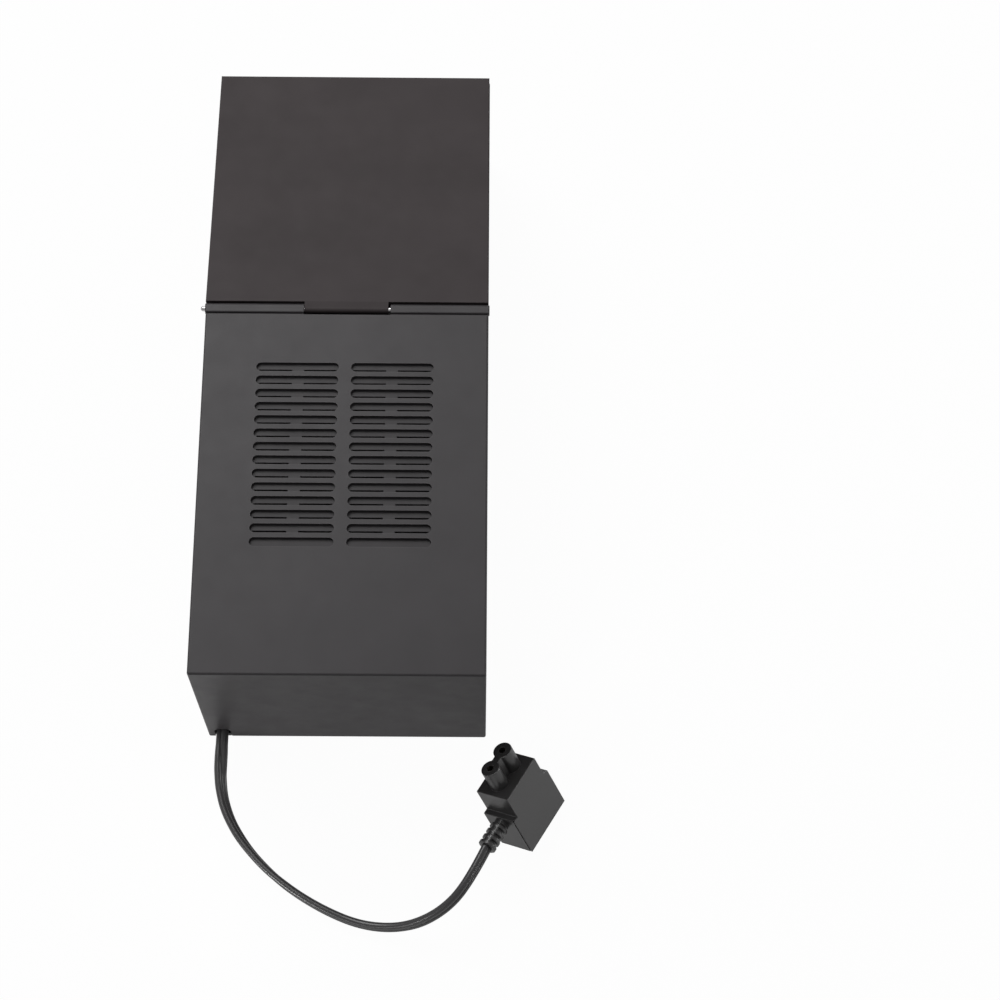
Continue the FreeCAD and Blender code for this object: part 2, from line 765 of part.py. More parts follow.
def base_cover():
    """The plate that closes the case from below, with a tongue that fills the notch under the cord.

    It carries pillars for the tray, standoffs for the power board, guides for the bridge board,
    and a guard wall that shuts the mains parts off from the front compartment.
    """
    body = new_body("base_cover")
    floor = new_sketch(body, "XY_Plane", "base_low")
    rectangle(floor, "-half_inside + base_gap", "half_inside - base_gap",
              "rear_inside + base_gap", "front_inside - base_gap")
    grow(body, floor, "base_thickness")
    tongue = new_sketch(body, "XY_Plane", "base_low - tongue_drop")
    rectangle(tongue, "cord_x - cord_notch_width / 2 + base_gap", "cord_x + cord_notch_width / 2 - base_gap",
              "rear_face + base_gap", "rear_inside + 2 * base_gap")
    grow(body, tongue, "base_thickness + tongue_drop")

    pillars = new_sketch(body, "XY_Plane", "base_top")
    for x, y in TRAY_SCREWS + TRAY_PEGS:
        circle(pillars, x, y, "pillar_diameter")
    grow(body, pillars, "tray_height - base_top")
    pegs = new_sketch(body, "XY_Plane", "tray_height")
    for x, y in TRAY_PEGS:
        circle(pegs, x, y, "peg_diameter")
    grow(body, pegs, "tray_thickness - peg_fit")
    pillar_holes = new_sketch(body, "XY_Plane", "tray_height")
    for x, y in TRAY_SCREWS:
        circle(pillar_holes, x, y, "hole_diameter")
    carve(body, pillar_holes, "pilot_length")

    guard = new_sketch(body, "XY_Plane", "base_top")
    rectangle(guard, "-tray_half + tray_thickness + guard_gap", "tray_half - tray_thickness - guard_gap",
              "supply_front + guard_setback", "supply_front + guard_setback + guard_thickness")
    grow(body, guard, "tray_height - base_top - guard_gap")

    standoffs = new_sketch(body, "XY_Plane", "base_top")
    board_holes = new_sketch(body, "XY_Plane", "supply_low")
    for x, y in BOARD_SCREWS:
        circle(standoffs, x, y, "standoff_diameter")
        circle(board_holes, x, y, "hole_diameter")
    grow(body, standoffs, "standoff_height")
    carve(body, board_holes, "standoff_height + base_thickness - floor_skin")

    guides = new_sketch(body, "XY_Plane", "base_top")
    slots = new_sketch(body, "XY_Plane", "base_top")
    middle = "bridge_y + board_thickness / 2"
    ends = (("-bridge_left", "-1"), ("bridge_right", "1"))
    for edge, side in ends:
        inner = "%s - %s * guide_depth" % (edge, side)
        outer = "%s + %s * (guide_size - guide_depth)" % (inner, side)
        rectangle(guides, inner, outer, middle + " - guide_size / 2", middle + " + guide_size / 2")
        rectangle(slots, "%s - %s" % (inner, side), "%s + %s * guide_fit" % (edge, side),
                  "bridge_y - guide_fit", "bridge_front + guide_fit")
    grow(body, guides, "guide_height")
    carve(body, slots, "guide_height + base_recess", reverse=True)

    holes = new_sketch(body, "XY_Plane", "base_low")
    seats = new_sketch(body, "XY_Plane", "base_low")
    for x, y in BASE_SCREWS:
        circle(holes, x, y, "hole_diameter")
        circle(seats, x, y, "seat_diameter")
    carve(body, holes, "base_thickness + base_recess", reverse=True)
    carve(body, seats, "head_height + head_fit", reverse=True)
    clamp_hole = new_sketch(body, "XY_Plane", "base_top")
    circle(clamp_hole, CLAMP_SCREW[0][0], CLAMP_SCREW[0][1], "hole_diameter")
    carve(body, clamp_hole, "base_thickness - floor_skin")
    foot_seats = new_sketch(body, "XY_Plane", "base_low")
    for x, y in FEET:
        circle(foot_seats, x, y, "foot_diameter + 2 * foot_fit")
    carve(body, foot_seats, "foot_seat", reverse=True)
    vents = new_sketch(body, "XY_Plane", "base_low")
    obround(vents, "0", "supply_hole_rear + 2 * base_vent_pitch", "base_vent_length", "base_vent_width")
    first_vent = carve(body, vents, "base_thickness + base_recess", reverse=True)
    repeat(body, first_vent, vents, "V_Axis", "base_vent_pitch", "base_vent_rows")


def feet():
    """Four rubber pads, glued into the base."""
    pads = []
    for x, y in FEET:
        pads.append(post("foot_diameter", "base_low + foot_seat", x, y, "0"))
    keep(join(pads), "feet")


def drive_tray():
    """The folded steel tray that a 3.5-inch drive is screwed to from below.

    It has the drive's hole pattern, air slots, and two peg and two screw holes for its pillars.
    """
    body = new_body("drive_tray")
    plate = new_sketch(body, "XY_Plane", "tray_height")
    rectangle(plate, "-tray_half", "tray_half", "tray_rear", "tray_front")
    grow(body, plate, "tray_thickness")
    flanges = new_sketch(body, "XY_Plane", "tray_top")
    rectangle(flanges, "-tray_half", "-tray_half + tray_thickness", "tray_rear", "tray_front")
    rectangle(flanges, "tray_half - tray_thickness", "tray_half", "tray_rear", "tray_front")
    grow(body, flanges, "tray_flange", reverse=True)
    holes = new_sketch(body, "XY_Plane", "tray_top")
    for x in ("-drive_hole_x", "drive_hole_x"):
        for y in ("drive_hole_y", "drive_hole_y + drive_hole_pitch"):
            circle(holes, x, y, "drive_hole_diameter")
    for x, y in TRAY_SCREWS:
        circle(holes, x, y, "hole_diameter")
    for x, y in TRAY_PEGS:
        circle(holes, x, y, "peg_diameter + 2 * peg_fit")
    carve(body, holes, "tray_thickness + peg_fit")
    slots = new_sketch(body, "XY_Plane", "tray_top")
    obround(slots, "0", "drive_rear + tray_slot_pitch", "tray_slot_length", "tray_slot_width")
    first_slot = carve(body, slots, "tray_thickness + peg_fit")
    repeat(body, first_slot, slots, "V_Axis", "tray_slot_pitch", "tray_slot_rows")


def bridge_parts():
    """The upright board behind the drive, with its socket, chip and side port.

    The board stands in its guides, and the drive slides back on to the socket.
    """
    board = block("bridge_left + bridge_right", "board_thickness", "bridge_height",
                  "-bridge_left", "bridge_y", "base_top")
    keep(board, "bridge_board")

    socket = new_body("sata_socket")
    face = new_sketch(socket, "XY_Plane", "socket_low")
    rectangle(face, "socket_centre - socket_width / 2", "socket_centre + socket_width / 2",
              "bridge_front", "drive_rear")
    grow(socket, face, "socket_height")
    mouth = new_sketch(socket, "XZ_Plane", "-drive_rear")
    low = "socket_low + (socket_height - socket_slot_height) / 2"
    power_left = "socket_centre - socket_width / 2 + slot_wall"
    data_right = "socket_centre + socket_width / 2 - slot_wall"
    rectangle(mouth, power_left, power_left + " + power_slot_width", low, low + " + socket_slot_height")
    rectangle(mouth, data_right + " - data_slot_width", data_right, low, low + " + socket_slot_height")
    carve(socket, mouth, "socket_slot_depth", reverse=True)

    chip = block("chip_size", "chip_height", "chip_size",
                 "-chip_size / 2", "bridge_front", "port_lift")
    keep(chip, "bridge_chip")

    port = new_body("host_port")
    shell = new_sketch(port, "YZ_Plane", "half_width - port_recess")
    rectangle(shell, "bridge_front", "bridge_front + port_height", "port_lift", "port_lift + port_width")
    grow(port, shell, "port_length", reverse=True)
    way = new_sketch(port, "YZ_Plane", "half_width - port_recess")
    rectangle(way, "bridge_front + port_wall", "bridge_front + port_height - port_wall",
              "port_lift + port_wall", "port_lift + port_width - port_wall")
    carve(port, way, "port_length - slot_wall")


def power_parts():
    """The mains supply under the tray: a board on standoffs and the parts soldered to it.

    Each part stands on the board's top face.
    """
    plate = block("supply_left + supply_right", "supply_length", "board_thickness",
                  "-supply_left", "supply_rear", "supply_low")
    drills = []
    for x, y in BOARD_SCREWS:
        drills.append(post("supply_hole_diameter", "board_thickness + 2 * peg_fit", x, y,
                           "supply_low - peg_fit"))
    drills.append(post("pillar_diameter + 2 * pillar_relief", "board_thickness + 2 * peg_fit",
                       "-pillar_x", "rear_pillar_y", "supply_low - peg_fit"))
    keep(cut(plate, drills), "power_board")

    header = block("header_width", "supply_rear - bridge_front + header_seat", "header_height",
                   "0", "bridge_front", "supply_top")
    keep(header, "power_header")

    # Transformer, a core with its winding, and the main capacitor beside it
    core_y = "supply_rear + supply_length / 2"
    core = block("core_width", "core_length", "core_height",
                 "-core_width / 2", core_y + " - core_length / 2", "supply_top")
    winding = block("winding_width", "winding_length", "core_height - 2 * slot_wall",
                    "-winding_width / 2", core_y + " - winding_length / 2", "supply_top")
    keep(join([core, winding]), "transformer")
    bulk_x = "-core_width / 2 - bulk_diameter"
    keep(post("bulk_diameter", "bulk_height", bulk_x, core_y, "supply_top"), "bulk_capacitor")

    # Choke, a wound ring that lies flat, ahead of the main capacitor
    ring = doc.addObject("Part::Torus", "Ring")
    tie(ring, "Radius1", "choke_radius")
    tie(ring, "Radius2", "choke_wire_radius")
    move(ring, bulk_x, core_y + " + bulk_diameter + choke_radius", "supply_top + choke_wire_radius")
    keep(ring, "choke")

    # Fuse, a glass tube between two metal caps
    fuse_x = "-supply_left + pillar_inset + pillar_diameter + fuse_diameter"
    fuse_y = "supply_hole_rear + terminal_length"
    fuse_z = "supply_top + cap_diameter / 2"
    tube = post("fuse_diameter", "fuse_length - 2 * cap_length", fuse_x, fuse_y + " + cap_length", fuse_z, "Y")
    first_cap = post("cap_diameter", "cap_length", fuse_x, fuse_y, fuse_z, "Y")
    last_cap = post("cap_diameter", "cap_length", fuse_x, fuse_y + " + fuse_length - cap_length", fuse_z, "Y")
    keep(join([tube, first_cap, last_cap]), "fuse")

    # Heat sink, a plate with fins on its outer side
    sink_x = "core_width / 2 + fin_reach"
    sink_y = core_y + " - sink_length / 2"
    fins = [block("sink_plate", "sink_length", "sink_height", sink_x, sink_y, "supply_top")]
    for number in range(SIZES["fin_count"]):
        along = "%s + %d * (sink_length - fin_thickness) / (fin_count - 1)" % (sink_y, number)
        fins.append(block("fin_reach", "fin_thickness", "sink_height",
                          sink_x + " + sink_plate", along, "supply_top"))
    keep(join(fins), "heat_sink")

    # Output capacitors, a pair near the board's front edge
    cans = []
    for step in ("0", "output_pitch"):
        cans.append(post("output_diameter", "output_height", "core_width / 2 + " + step,
                         "supply_front - output_pitch", "supply_top"))
    keep(join(cans), "output_capacitors")


def mains_entry():
    """The clamp on the cord's inner end, and the leads and terminal that take the mains to the board."""
    clamp = block("clamp_width", "clamp_length", "clamp_height", "clamp_left", "clamp_rear", "base_top")
    x, y = CLAMP_SCREW[0]
    hole = post("hole_diameter", "clamp_height + 2 * peg_fit", x, y, "base_top - peg_fit")
    recess = post("seat_diameter", "clamp_height", x, y, "clamp_seat")
    keep(cut(clamp, [hole, recess]), "cord_clamp")

    leads = []
    for side in ("-lead_pitch / 2", "lead_pitch / 2"):
        leads.append(post("lead_diameter", "lead_length", "terminal_x + " + side, "clamp_front",
                          "base_top + lead_height", "Y"))
    keep(join(leads), "mains_leads")
    terminal = block("2 * lead_pitch", "terminal_length", "terminal_height",
                     "terminal_x - lead_pitch", "terminal_rear", "supply_top")
    keep(terminal, "mains_terminal")


# Mains lead: its route as chosen, from the clamp out of the notch, over the table and up to the plug,
# measured from the place on the table below the notch
EXIT = point("cord_x", "rear_face")
ROUTE = [
    (0.1, 5.96, 6.5),
    (-0.1, -5.49, 6.5),
    (-0.6, -19.49, 2.6),
    (2.8, -32.29, 2.5),
    (10.7, -44.79, 2.5),
    (22.8, -56.99, 2.5),
    (38.7, -67.39, 2.5),
    (55.7, -74.49, 3),
    (71.7, -75.29, 8),
    (84.9, -70.79, 16.8),
    (94.5, -61.59, 22.9),
    (102.05, -48.19, 23.2),
]
PLUG_PLACE = FreeCAD.Placement(EXIT + Vector(108.6, -22.985, 30.9), FreeCAD.Rotation(-24.7, -30.6, -11.7))


def rounded_path(points):
    """Straight runs joined by tangent arcs, with the radius of each arc."""
    edges = []
    radii = []
    last = points[0]
    for before, corner, after in zip(points, points[1:], points[2:]):
        back = (before - corner).normalize()
        ahead = (after - corner).normalize()
        reach = 0.45 * min(corner.distanceToPoint(before), corner.distanceToPoint(after))
        half_angle = back.getAngle(ahead) / 2
        radius = reach * math.tan(half_angle)
        centre = corner + (back + ahead).normalize() * (radius / math.sin(half_angle))
        middle = centre + (corner - centre).normalize() * radius
        start = corner + back * reach
        stop = corner + ahead * reach
        edges.append(Part.LineSegment(last, start).toShape())
        edges.append(Part.Arc(start, middle, stop).toShape())
        radii.append(round(radius, 1))
        last = stop
    edges.append(Part.LineSegment(last, points[-1]).toShape())
    return Part.Wire(edges), radii


def power_cord():
    """The mains lead as a tube of its width along the chosen route."""
    points = [EXIT + Vector(*step) for step in ROUTE]
    path, radii = rounded_path(points)
    radius = SIZES["cord_width"] / 2
    ring = Part.Wire(Part.Circle(points[0], points[1] - points[0], radius).toShape())
    tube = path.makePipeShell([ring], True, True)
    cord = doc.addObject("Part::Feature", "power_cord")
    cord.Shape = tube
    keep(cord, "power_cord")
    print("cord length", round(path.Length, 1), "arc radii", radii)
    print("cord volume", round(tube.Volume), "against", round(math.pi * radius ** 2 * path.Length))


def plug():
    """The plug block, built upright about the middle of its connector face and then laid in its place.

    The figure-8 connector stands on the face, and the pass-through inlet is sunk in the far end.
    """
    body = new_body("plug_body")
    side = new_sketch(body, "YZ_Plane")
    outline(side, [
        ("-plug_head_width / 2", "0"),
        ("-plug_head_width / 2", "-near_step"),
        ("-plug_width / 2", "-near_step"),
        ("-plug_width / 2", "-plug_depth"),
        ("plug_width / 2", "-plug_depth"),
        ("plug_width / 2", "-far_step - far_slope"),
        ("plug_head_width / 2", "-far_step"),
        ("plug_head_width / 2", "0"),
    ])
    mould = grow(body, side, "plug_thickness", both=True)
    round_edges(body, mould, lambda edge, whole: True, "plug_round")
    for side in ("-nose_pitch / 2", "nose_pitch / 2"):
        barrel = new_sketch(body, "XY_Plane")
        circle(barrel, "0", side, "nose_diameter")
        grow(body, barrel, "nose_length")
    web = new_sketch(body, "XY_Plane")
    rectangle(web, "-nose_web / 2", "nose_web / 2", "-nose_pitch / 2", "nose_pitch / 2")
    nose = grow(body, web, "nose_length")

    def waist(edge, whole):
        upright = edge.ZMin > -0.01 and edge.XLength < 0.01 and edge.YLength < 0.01
        return upright and abs(abs(edge.Center.x) - SIZES["nose_web"] / 2) < 0.01
    nose = round_edges(body, nose, waist, "nose_waist")
    round_edges(body, nose, lambda edge, whole: edge.ZMin > whole.ZMax - 0.01, "nose_round")
    holes = new_sketch(body, "XY_Plane", "nose_length")
    for side in ("-nose_pitch / 2", "nose_pitch / 2"):
        circle(holes, "0", side, "contact_diameter")
    carve(body, holes, "contact_recess + contact_length")
    inlet = new_sketch(body, "XY_Plane", "-plug_depth")
    inlet.AttachmentOffset.Rotation = FreeCAD.Rotation(Vector(0, 0, 1), 90)
    obround(inlet, "0", "0", "inlet_width", "inlet_height")
    carve(body, inlet, "inlet_depth", reverse=True)
    seam = new_sketch(body, "XZ_Plane", "plug_width / 2")
    edge = "plug_thickness / 2 - seam_inset"
    rectangle(seam, edge + " - seam_width", edge, "-plug_depth - seam_depth", "-near_step + seam_depth")
    carve(body, seam, "seam_depth")
    body.Placement = PLUG_PLACE

    contacts = []
    pins = []
    for side in ("-nose_pitch / 2", "nose_pitch / 2"):
        low = "nose_length - contact_recess - contact_length"
        wall = post("contact_diameter", "contact_length", "0", side, low)
        hollow = post("contact_bore", "contact_length", "0", side, low + " + slot_wall")
        contacts.append(cut(wall, [hollow]))
        pins.append(post("inlet_pin_diameter", "inlet_pin_length", "0", side,
                         "inlet_depth - inlet_pin_length - plug_depth"))
    keep(join(contacts), "plug_contacts").Placement = PLUG_PLACE
    keep(join(pins), "inlet_pins").Placement = PLUG_PLACE

    start = "-plug_width / 2 - relief_length"
    rings = [post("relief_core", "relief_length", "0", start, "-relief_drop", "Y")]
    for number in range(SIZES["ring_count"]):
        along = "%s + %d * ring_pitch" % (start, number)
        rings.append(post("relief_ring", "ring_width", "0", along, "-relief_drop", "Y"))
    keep(join(rings), "plug_relief").Placement = PLUG_PLACE


top_housing()
lid()
hinge_pin()
base_cover()
screws("base_screws", BASE_SCREWS, "base_low + head_height + head_fit", "screw_length", upward=True)
feet()
drive_tray()
screws("tray_screws", TRAY_SCREWS, "tray_top", "screw_length")
bridge_parts()
power_parts()
screws("board_screws", BOARD_SCREWS, "supply_top", "short_screw_length")
mains_entry()
screws("clamp_screw", CLAMP_SCREW, "clamp_seat", "short_screw_length")
power_cord()
plug()
doc.removeObject(gauge.Name)
doc.recompute()

# Every feature is sound, and every pocket takes something away
for thing in doc.Objects:
    if "Invalid" in thing.State or "Error" in thing.State:
        raise RuntimeError("%s did not compute" % thing.Label)
    if thing.TypeId == "PartDesign::Pocket" and thing.Shape.Volume > thing.BaseFeature.Shape.Volume - 0.01:
        raise RuntimeError("%s cuts nothing" % thing.Name)
for thing in NODES:
    if thing.Shape.isNull() or not thing.Shape.isValid():
        raise RuntimeError("%s has no sound shape" % thing.Label)
    thing.Shape.exportStep("parts/%s.step" % thing.Label)
    print(thing.Label, len(thing.Shape.Solids), round(thing.Shape.Volume))
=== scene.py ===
"""Looks of a long black drive enclosure with a hinged lid, a mains lead and its plug block.

Lengths are in metres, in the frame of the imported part: X to the right, Y from the cable end
to the lid, Z up from the table.
"""

import math

import bmesh
import bpy
from mathutils import Matrix, Vector


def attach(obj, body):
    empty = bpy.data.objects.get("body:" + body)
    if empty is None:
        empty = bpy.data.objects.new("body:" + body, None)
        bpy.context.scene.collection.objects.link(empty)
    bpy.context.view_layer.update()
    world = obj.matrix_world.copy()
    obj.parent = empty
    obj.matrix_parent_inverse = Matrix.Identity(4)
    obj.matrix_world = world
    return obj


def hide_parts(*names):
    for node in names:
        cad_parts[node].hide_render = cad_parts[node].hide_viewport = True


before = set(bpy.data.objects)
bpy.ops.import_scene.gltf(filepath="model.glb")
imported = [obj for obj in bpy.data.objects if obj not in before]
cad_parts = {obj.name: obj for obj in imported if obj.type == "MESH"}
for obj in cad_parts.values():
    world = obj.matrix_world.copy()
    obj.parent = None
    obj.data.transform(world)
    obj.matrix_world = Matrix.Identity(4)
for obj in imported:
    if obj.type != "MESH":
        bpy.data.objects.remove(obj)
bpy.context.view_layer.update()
bpy.context.scene.view_settings.view_transform = "Standard"


# Base cover
# The flat plate that closes the case from below, moulded in the same black ABS as the housing.
# Its pillars and guides carry the boards and the tray, and six screws hold it up in the housing.

def new_finish(name, roughness, metallic=0.0, specular=0.5):
    """A material with its even values set, and its tree, shader and object coordinates."""
    finish = bpy.data.materials.new(name)
    finish.use_nodes = True
    tree = finish.node_tree
    shader = tree.nodes["Principled BSDF"]
    shader.inputs["Roughness"].default_value = roughness
    shader.inputs["Metallic"].default_value = metallic
    shader.inputs["Specular IOR Level"].default_value = specular
    place = tree.nodes.new("ShaderNodeTexCoord").outputs["Object"]
    return finish, tree, shader, place


def noise(tree, place, scale, detail=2.0):
    """Soft noise over the object, with the scale in features per metre."""
    grain = tree.nodes.new("ShaderNodeTexNoise")
    grain.inputs["Scale"].default_value = scale
    grain.inputs["Detail"].default_value = detail
    tree.links.new(place, grain.inputs["Vector"])
    return grain.outputs["Fac"]


def blend_colours(tree, amount, low, high):
    """A colour that runs from low to high as the amount goes from 0.3 to 0.7."""
    ramp = tree.nodes.new("ShaderNodeValToRGB")
    ramp.color_ramp.elements[0].position = 0.3
    ramp.color_ramp.elements[0].color = (*low, 1)
    ramp.color_ramp.elements[1].position = 0.7
    ramp.color_ramp.elements[1].color = (*high, 1)
    tree.links.new(amount, ramp.inputs["Fac"])
    return ramp.outputs["Color"]


def spread(tree, amount, low, high):
    """A number that runs from low to high as the amount goes from 0.3 to 0.7."""
    span = tree.nodes.new("ShaderNodeMapRange")
    span.inputs["From Min"].default_value = 0.3
    span.inputs["From Max"].default_value = 0.7
    span.inputs["To Min"].default_value = low
    span.inputs["To Max"].default_value = high
    tree.links.new(amount, span.inputs["Value"])
    return span.outputs["Result"]


def emboss(tree, shader, height, depth):
    """Turns a height pattern into a fine relief of that depth."""
    bump = tree.nodes.new("ShaderNodeBump")
    bump.inputs["Strength"].default_value = 1.0
    bump.inputs["Distance"].default_value = depth
    tree.links.new(height, bump.inputs["Height"])
    tree.links.new(bump.outputs["Normal"], shader.inputs["Normal"])


def painted_edge_highlight(tree, radius):
    """How near a spot is to an edge, for a painted highlight: 0 on a flat face, 1 on the edge itself."""
    still_flat = 0.97
    fully_highlighted = 0.75
    rounded = tree.nodes.new("ShaderNodeBevel")
    rounded.samples = 6
    rounded.inputs["Radius"].default_value = radius
    flat = tree.nodes.new("ShaderNodeNewGeometry").outputs["Normal"]
    turn = tree.nodes.new("ShaderNodeVectorMath")
    turn.operation = "DOT_PRODUCT"
    tree.links.new(rounded.outputs["Normal"], turn.inputs[0])
    tree.links.new(flat, turn.inputs[1])
    edge_highlight = tree.nodes.new("ShaderNodeMapRange")
    edge_highlight.inputs["From Min"].default_value = still_flat
    edge_highlight.inputs["From Max"].default_value = fully_highlighted
    tree.links.new(turn.outputs["Value"], edge_highlight.inputs["Value"])
    return edge_highlight.outputs["Result"]


def moulded_plastic(name, colour, roughness, specular, grain=2200, depth=0.000012,
                    edge_highlight=0.0, highlight_radius=0.0003, uneven=0.03):
    """Satin moulded plastic: a faint mottle, uneven sheen, a fine spark-eroded grain, and edges lightened
    as a painted highlight.
    """
    clouds_per_metre = 45
    streaks_per_metre = 130
    finish, tree, shader, place = new_finish(name, roughness, specular=specular)
    dark = tuple(0.93 * part for part in colour)
    light = tuple(1.07 * part for part in colour)
    shade = blend_colours(tree, noise(tree, place, clouds_per_metre, 3.0), dark, light)
    # Painted highlight: the colour is lightened along the edges, where rounded edges would catch the light.
    if edge_highlight:
        highlighted = tree.nodes.new("ShaderNodeMixRGB")
        highlighted.inputs["Color2"].default_value = (*(edge_highlight * part for part in colour), 1)
        tree.links.new(painted_edge_highlight(tree, highlight_radius), highlighted.inputs["Fac"])
        tree.links.new(shade, highlighted.inputs["Color1"])
        shade = highlighted.outputs["Color"]
    tree.links.new(shade, shader.inputs["Base Color"])
    streaks = noise(tree, place, streaks_per_metre, 4.0)
    sheen = spread(tree, streaks, roughness - uneven, roughness + uneven)
    tree.links.new(sheen, shader.inputs["Roughness"])
    emboss(tree, shader, noise(tree, place, grain, 3.0), depth)
    return finish


def dress(node, finish):
    """Gives a node of the frame its finish."""
    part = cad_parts[node]
    for spot in part.material_slots:
        spot.material = finish
    return part


inner_black = moulded_plastic("inner_black", (0.024, 0.024, 0.025), 0.55, 0.3)
dress("base_cover", inner_black)


# Feet
# Four round pads that keep the case from sliding, punched from black rubber sheet.
# They are glued into shallow seats near the corners of the base.

def rubber(name, colour):
    """Matt rubber with a coarse, dusty skin."""
    finish, tree, shader, place = new_finish(name, 0.8, specular=0.25)
    dust = noise(tree, place, 900, 4.0)
    lighter = tuple(1.5 * part for part in colour)
    tree.links.new(blend_colours(tree, dust, colour, lighter), shader.inputs["Base Color"])
    emboss(tree, shader, noise(tree, place, 1600, 2.0), 0.00003)
    return finish


dress("feet", rubber("foot_rubber", (0.018, 0.018, 0.019)))


# Mains supply
# A green board on four standoffs with the transformer, capacitors, choke, fuse and heat sink.
# The parts are soldered to it, and four screws hold it to the base.

def circuit_board(name, mask, track):
    """Solder mask over a close pattern of copper tracks."""
    tracks_per_metre = 260
    finish, tree, shader, place = new_finish(name, 0.32, specular=0.5)
    tracks = tree.nodes.new("ShaderNodeTexBrick")
    tracks.offset = 0.37
    tracks.squash = 1.6
    tracks.squash_frequency = 3
    tracks.inputs["Color1"].default_value = (*mask, 1)
    tracks.inputs["Color2"].default_value = (*(0.8 * part for part in mask), 1)
    tracks.inputs["Mortar"].default_value = (*track, 1)
    tracks.inputs["Scale"].default_value = tracks_per_metre
    tracks.inputs["Mortar Size"].default_value = 0.03
    turned = tree.nodes.new("ShaderNodeMapping")
    turned.inputs["Rotation"].default_value = (math.radians(54), math.radians(35), 0)
    tree.links.new(place, turned.inputs["Vector"])
    tree.links.new(turned.outputs["Vector"], tracks.inputs["Vector"])
    tree.links.new(tracks.outputs["Color"], shader.inputs["Base Color"])
    emboss(tree, shader, tracks.outputs["Fac"], 0.00002)
    return finish


def plated_steel(name, colour, roughness, spangle=700):
    """Plated metal with a faint spangle, in cells per metre, and an uneven shine."""
    uneven = 0.02
    finish, tree, shader, place = new_finish(name, roughness, metallic=1.0)
    cells = tree.nodes.new("ShaderNodeTexVoronoi")
    cells.inputs["Scale"].default_value = spangle
    tree.links.new(place, cells.inputs["Vector"])
    grey = tree.nodes.new("ShaderNodeRGBToBW")
    tree.links.new(cells.outputs["Color"], grey.inputs["Color"])
    dark = tuple(0.94 * part for part in colour)
    tree.links.new(blend_colours(tree, grey.outputs["Val"], dark, colour), shader.inputs["Base Color"])
    shine = spread(tree, grey.outputs["Val"], roughness - uneven, roughness + uneven)
    tree.links.new(shine, shader.inputs["Roughness"])
    emboss(tree, shader, noise(tree, place, 3000, 2.0), 0.000004)
    return finish


board_green = circuit_board("board_green", (0.012, 0.085, 0.035), (0.05, 0.19, 0.07))
screw_zinc = plated_steel("screw_zinc", (0.62, 0.61, 0.58), 0.3)
tape_yellow = moulded_plastic("tape_yellow", (0.55, 0.36, 0.03), 0.3, 0.5, grain=500)
sleeve_blue = moulded_plastic("sleeve_blue", (0.012, 0.02, 0.06), 0.22, 0.5, grain=300)
copper = plated_steel("enamelled_copper", (0.62, 0.24, 0.09), 0.28, spangle=1500)
fuse_glass = moulded_plastic("fuse_glass", (0.62, 0.66, 0.66), 0.08, 0.5, grain=200)
sink_aluminium = plated_steel("sink_aluminium", (0.76, 0.77, 0.78), 0.34, spangle=300)
connector_black = moulded_plastic("connector_black", (0.014, 0.014, 0.015), 0.4, 0.4)
dress("power_board", board_green)
dress("transformer", tape_yellow)
dress("bulk_capacitor", sleeve_blue)
dress("output_capacitors", sleeve_blue)
dress("choke", copper)
dress("fuse", fuse_glass)
dress("heat_sink", sink_aluminium)
dress("power_header", connector_black)
dress("board_screws", screw_zinc)


# Mains entry
# A black moulded clamp, held by one screw, grips the cord's inner end against the base.
# Two short sleeved leads go on from there to a screw terminal on the supply's board.

lead_sleeve = moulded_plastic("lead_sleeve", (0.02, 0.02, 0.022), 0.45, 0.4)
dress("cord_clamp", inner_black)
dress("clamp_screw", screw_zinc)
dress("mains_leads", lead_sleeve)
dress("mains_terminal", connector_black)


# Bridge board
# An upright green board that joins the drive to the data port, with one black chip.
# It stands in slotted guides; the socket and the plated port are soldered to it.

chip_black = moulded_plastic("chip_black", (0.012, 0.012, 0.013), 0.5, 0.4)
port_steel = plated_steel("port_steel", (0.74, 0.74, 0.75), 0.24, spangle=2500)
dress("bridge_board", board_green)
dress("sata_socket", connector_black)
dress("bridge_chip", chip_black)
dress("host_port", port_steel)


# Drive tray
# A folded, zinc-plated sheet with the drive's hole pattern and air slots, on four pillars.
# Two pegs and two screws fix it.

tray_steel = plated_steel("tray_steel", (0.66, 0.67, 0.68), 0.38, spangle=450)
dress("drive_tray", tray_steel)
dress("tray_screws", screw_zinc)


# Top housing
# The long case moulding with the vented roof, two hinge barrels and the cord's notch.
# Satin black ABS; six screws come up through the base into its bosses.

# Its edges are lightened to 1.6 times the colour as a painted highlight.
case_black = moulded_plastic("case_black", (0.0402, 0.0372, 0.0396), 0.45, 0.25, edge_highlight=1.6, highlight_radius=0.0008)
dress("top_housing", case_black)
dress("base_screws", screw_zinc)


# Hinge barrel covers
# The two fixed barrels have flat tops, level with the roof, so that little of the hinge shows.
# Each is moulded in one with the housing, and its outer end is slightly rounded.

pin_line = Vector((0, 0.0183851, 0.078))
cover_inner = 0.01645
cover_outer = 0.05385
cover_end_length = 0.0005
cover_end_scale = 0.86
cover_edge_round = 0.00018
cover_profile = [
    (-0.0022, -0.0006),
    (-0.0022, 0.00165),
    (-0.00185, 0.00199),
    (0.00095, 0.00199),
    (0.00205, 0.00076),
    (0.00205, -0.0006),
]


def close_rings(mesh, rings):
    """Joins a row of rings by side faces and closes both ends."""
    count = len(rings[0])
    for near, far in zip(rings, rings[1:]):
        for step in range(count):
            after = (step + 1) % count
            mesh.faces.new((near[step], near[after], far[after], far[step]))
    mesh.faces.new(reversed(rings[0]))
    mesh.faces.new(rings[-1])


def make_piece(name, mesh, finish, smooth_sides=False):
    """Turns a closed mesh into a piece with its finish."""
    bmesh.ops.recalc_face_normals(mesh, faces=mesh.faces)
    if smooth_sides:
        for face in mesh.faces:
            face.smooth = len(face.verts) == 4
    data = bpy.data.meshes.new(name)
    mesh.to_mesh(data)
    mesh.free()
    data.materials.append(finish)
    piece = bpy.data.objects.new(name, data)
    bpy.context.scene.collection.objects.link(piece)
    return piece


